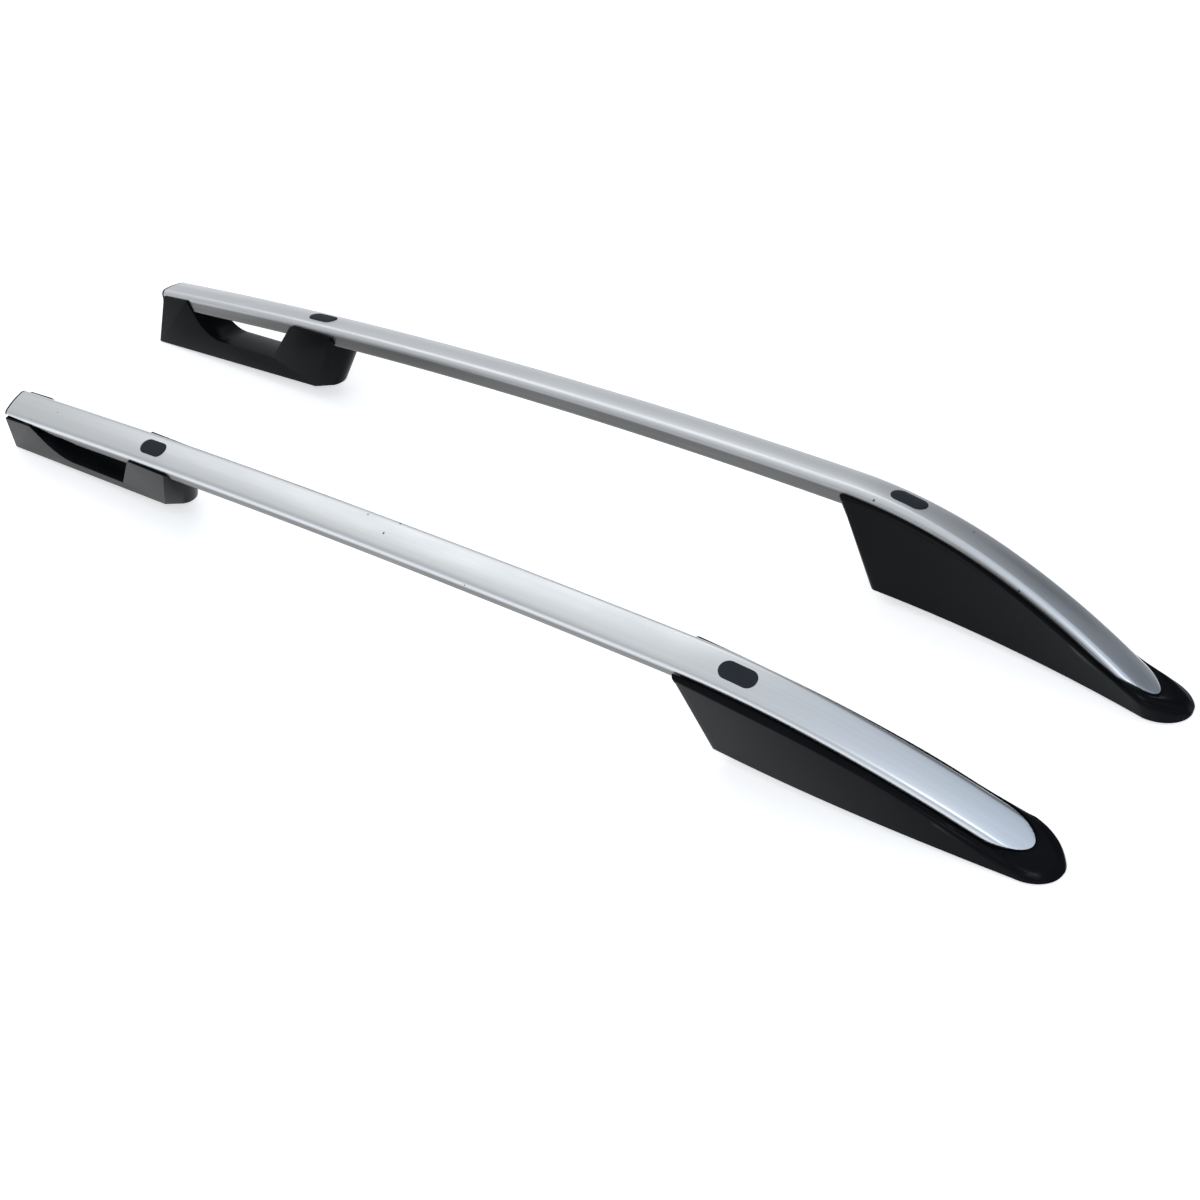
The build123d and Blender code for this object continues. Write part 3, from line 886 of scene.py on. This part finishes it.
def add_world():
    """Soft studio surround, brighter overhead than at the horizon and dimmer on one side."""
    world = bpy.data.worlds.new("studio")
    bpy.context.scene.world = world
    world.use_nodes = True
    tree = world.node_tree
    ground = tree.nodes["Background"]
    place = tree.nodes.new("ShaderNodeTexCoord")
    split = tree.nodes.new("ShaderNodeSeparateXYZ")
    ramp = tree.nodes.new("ShaderNodeValToRGB")
    ramp.color_ramp.elements[0].position = 0.0
    ramp.color_ramp.elements[0].color = HORIZON_TONE
    ramp.color_ramp.elements[1].position = OVERHEAD_START
    ramp.color_ramp.elements[1].color = OVERHEAD_TONE
    toward = tree.nodes.new("ShaderNodeVectorMath")
    toward.operation = "DOT_PRODUCT"
    toward.inputs[1].default_value = DIM_TOWARD
    dim = tree.nodes.new("ShaderNodeMapRange")
    set_span(dim, *DIM_SPAN, 1.0, DIM_LEVEL)
    tree.links.new(place.outputs["Generated"], split.inputs["Vector"])
    tree.links.new(place.outputs["Generated"], toward.inputs[0])
    tree.links.new(toward.outputs["Value"], dim.inputs["Value"])
    tree.links.new(split.outputs["Z"], ramp.inputs["Fac"])
    cool = tree.nodes.new("ShaderNodeMapRange")
    set_span(cool, *COOL_SPAN, 0.0, 1.0)
    tint = tree.nodes.new("ShaderNodeMix")
    tint.data_type = "RGBA"
    tint.blend_type = "MULTIPLY"
    tint.inputs[7].default_value = COOL_TINT
    tree.links.new(split.outputs["X"], cool.inputs["Value"])
    tree.links.new(cool.outputs["Result"], tint.inputs[0])
    tree.links.new(ramp.outputs["Color"], tint.inputs[6])
    tree.links.new(tint.outputs[2], ground.inputs["Color"])
    tree.links.new(dim.outputs["Result"], ground.inputs["Strength"])


def add_floor():
    """Plain white floor that keeps the soft shadow."""
    mesh = bpy.data.meshes.new("floor")
    reach = FLOOR_REACH
    corners = [(-reach, -reach, 0), (reach, -reach, 0), (reach, reach, 0), (-reach, reach, 0)]
    mesh.from_pydata(corners, [], [(0, 1, 2, 3)])
    floor = bpy.data.objects.new("floor", mesh)
    bpy.context.scene.collection.objects.link(floor)
    look = Look("floor_white")
    socket(look.shader, "Base Color", FLOOR_TONE)
    socket(look.shader, "Roughness", FLOOR_ROUGHNESS)
    socket(look.shader, "Specular IOR Level", FLOOR_SPECULAR)
    socket(look.shader, "Emission Color", (1, 1, 1, 1))
    path = look.add("ShaderNodeLightPath")
    seen = look.calculate("ADD", path.outputs["Is Camera Ray"], path.outputs["Is Glossy Ray"])
    seen = look.calculate("ADD", seen, path.outputs["Is Transmission Ray"])
    look.link(look.span(seen, 0.0, FLOOR_GLOW, 0.0, 1.0), look.shader, "Emission Strength")
    paint(floor, look.material)


bpy.context.scene.view_settings.view_transform = "Standard"
add_camera()
add_world()
add_floor()
add_lamp("key", at=(-1.5, 1.1, 2.1), aim=(0, 0, 0.1), size=(3.0, 1.8), power=12)
add_lamp("front", at=(2.3, -2.0, 2.7), aim=(0.6, 0, 0), size=(0.4, 0.4), power=15)

nose_end = rail_point(RAIL_LENGTH, 0, 0).x + NOSE_REACH
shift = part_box("left_rail")[0][0] / MM - min(rail_point(0, point.x, point.y).x for point in section(0.0))
rim = rim_line()
rim_places = [place for place, height, heading in rim]

aluminium = rail_look()
black = plastic_look(
    "satin_black",
    dark=(0.0035, 0.0039, 0.0048, 1),
    light=(0.005, 0.0056, 0.0068, 1),
    roughness=(0.2, 0.28),
    grain=1400.0,
    strength=0.1,
    specular=0.045,
)
plug_black = plastic_look(
    "matte_black",
    dark=(0.022, 0.025, 0.03, 1),
    light=(0.028, 0.031, 0.037, 1),
    roughness=(0.5, 0.62),
    grain=1700.0,
    strength=0.2,
    specular=0.06,
)
# Painted reflection: a lighter warm grey on the rear feet's black outboard faces stands for the floor they
# reflect
painted_reflection_grey = plastic_look(
    "outboard_painted_reflection",
    dark=(0.05, 0.0485, 0.045, 1),
    light=(0.064, 0.062, 0.058, 1),
    roughness=(0.42, 0.52),
    grain=1400.0,
    strength=0.12,
    specular=0.18,
)
rubber = plastic_look(
    "pad_rubber",
    dark=(0.012, 0.012, 0.012, 1),
    light=(0.02, 0.02, 0.02, 1),
    roughness=(0.75, 0.9),
    grain=900.0,
    strength=0.3,
    specular=0.2,
)
cast = metal_look(
    "cast_aluminium",
    dark=(0.42, 0.42, 0.42, 1),
    light=(0.56, 0.56, 0.56, 1),
    roughness=(0.45, 0.6),
    grain=700.0,
)
zinc = metal_look(
    "zinc_steel",
    dark=(0.48, 0.48, 0.45, 1),
    light=(0.6, 0.6, 0.58, 1),
    roughness=(0.25, 0.4),
    grain=900.0,
)

looks = {
    "rear_gasket": rubber,
    "front_gasket": rubber,
    "front_bracket": cast,
    "rail_screws": zinc,
    "foot_inserts": zinc,
    "bracket_inserts": zinc,
    "cover_screws": zinc,
}
for side, sign in SIDES.items():
    for name, material in looks.items():
        paint(nodes[side + "_" + name], material)
    add_turned(side, "rail", rail_rows(), aluminium)
    add_turned(side, "rear_end_cap", cap_rows(), black)
    for name, station in PLUG_STATIONS.items():
        add_turned(side, name, plug_rows(station), plug_black)
    add_cover(side, black)
    foot = soften(side + "_rear_foot", FOOT_EDGE, black)
    # Faces that look outboard get the painted reflection grey
    foot.data.materials.append(painted_reflection_grey)
    for face in foot.data.polygons:
        if face.normal.y * sign > OUTBOARD_FACING:
            face.material_index = 1
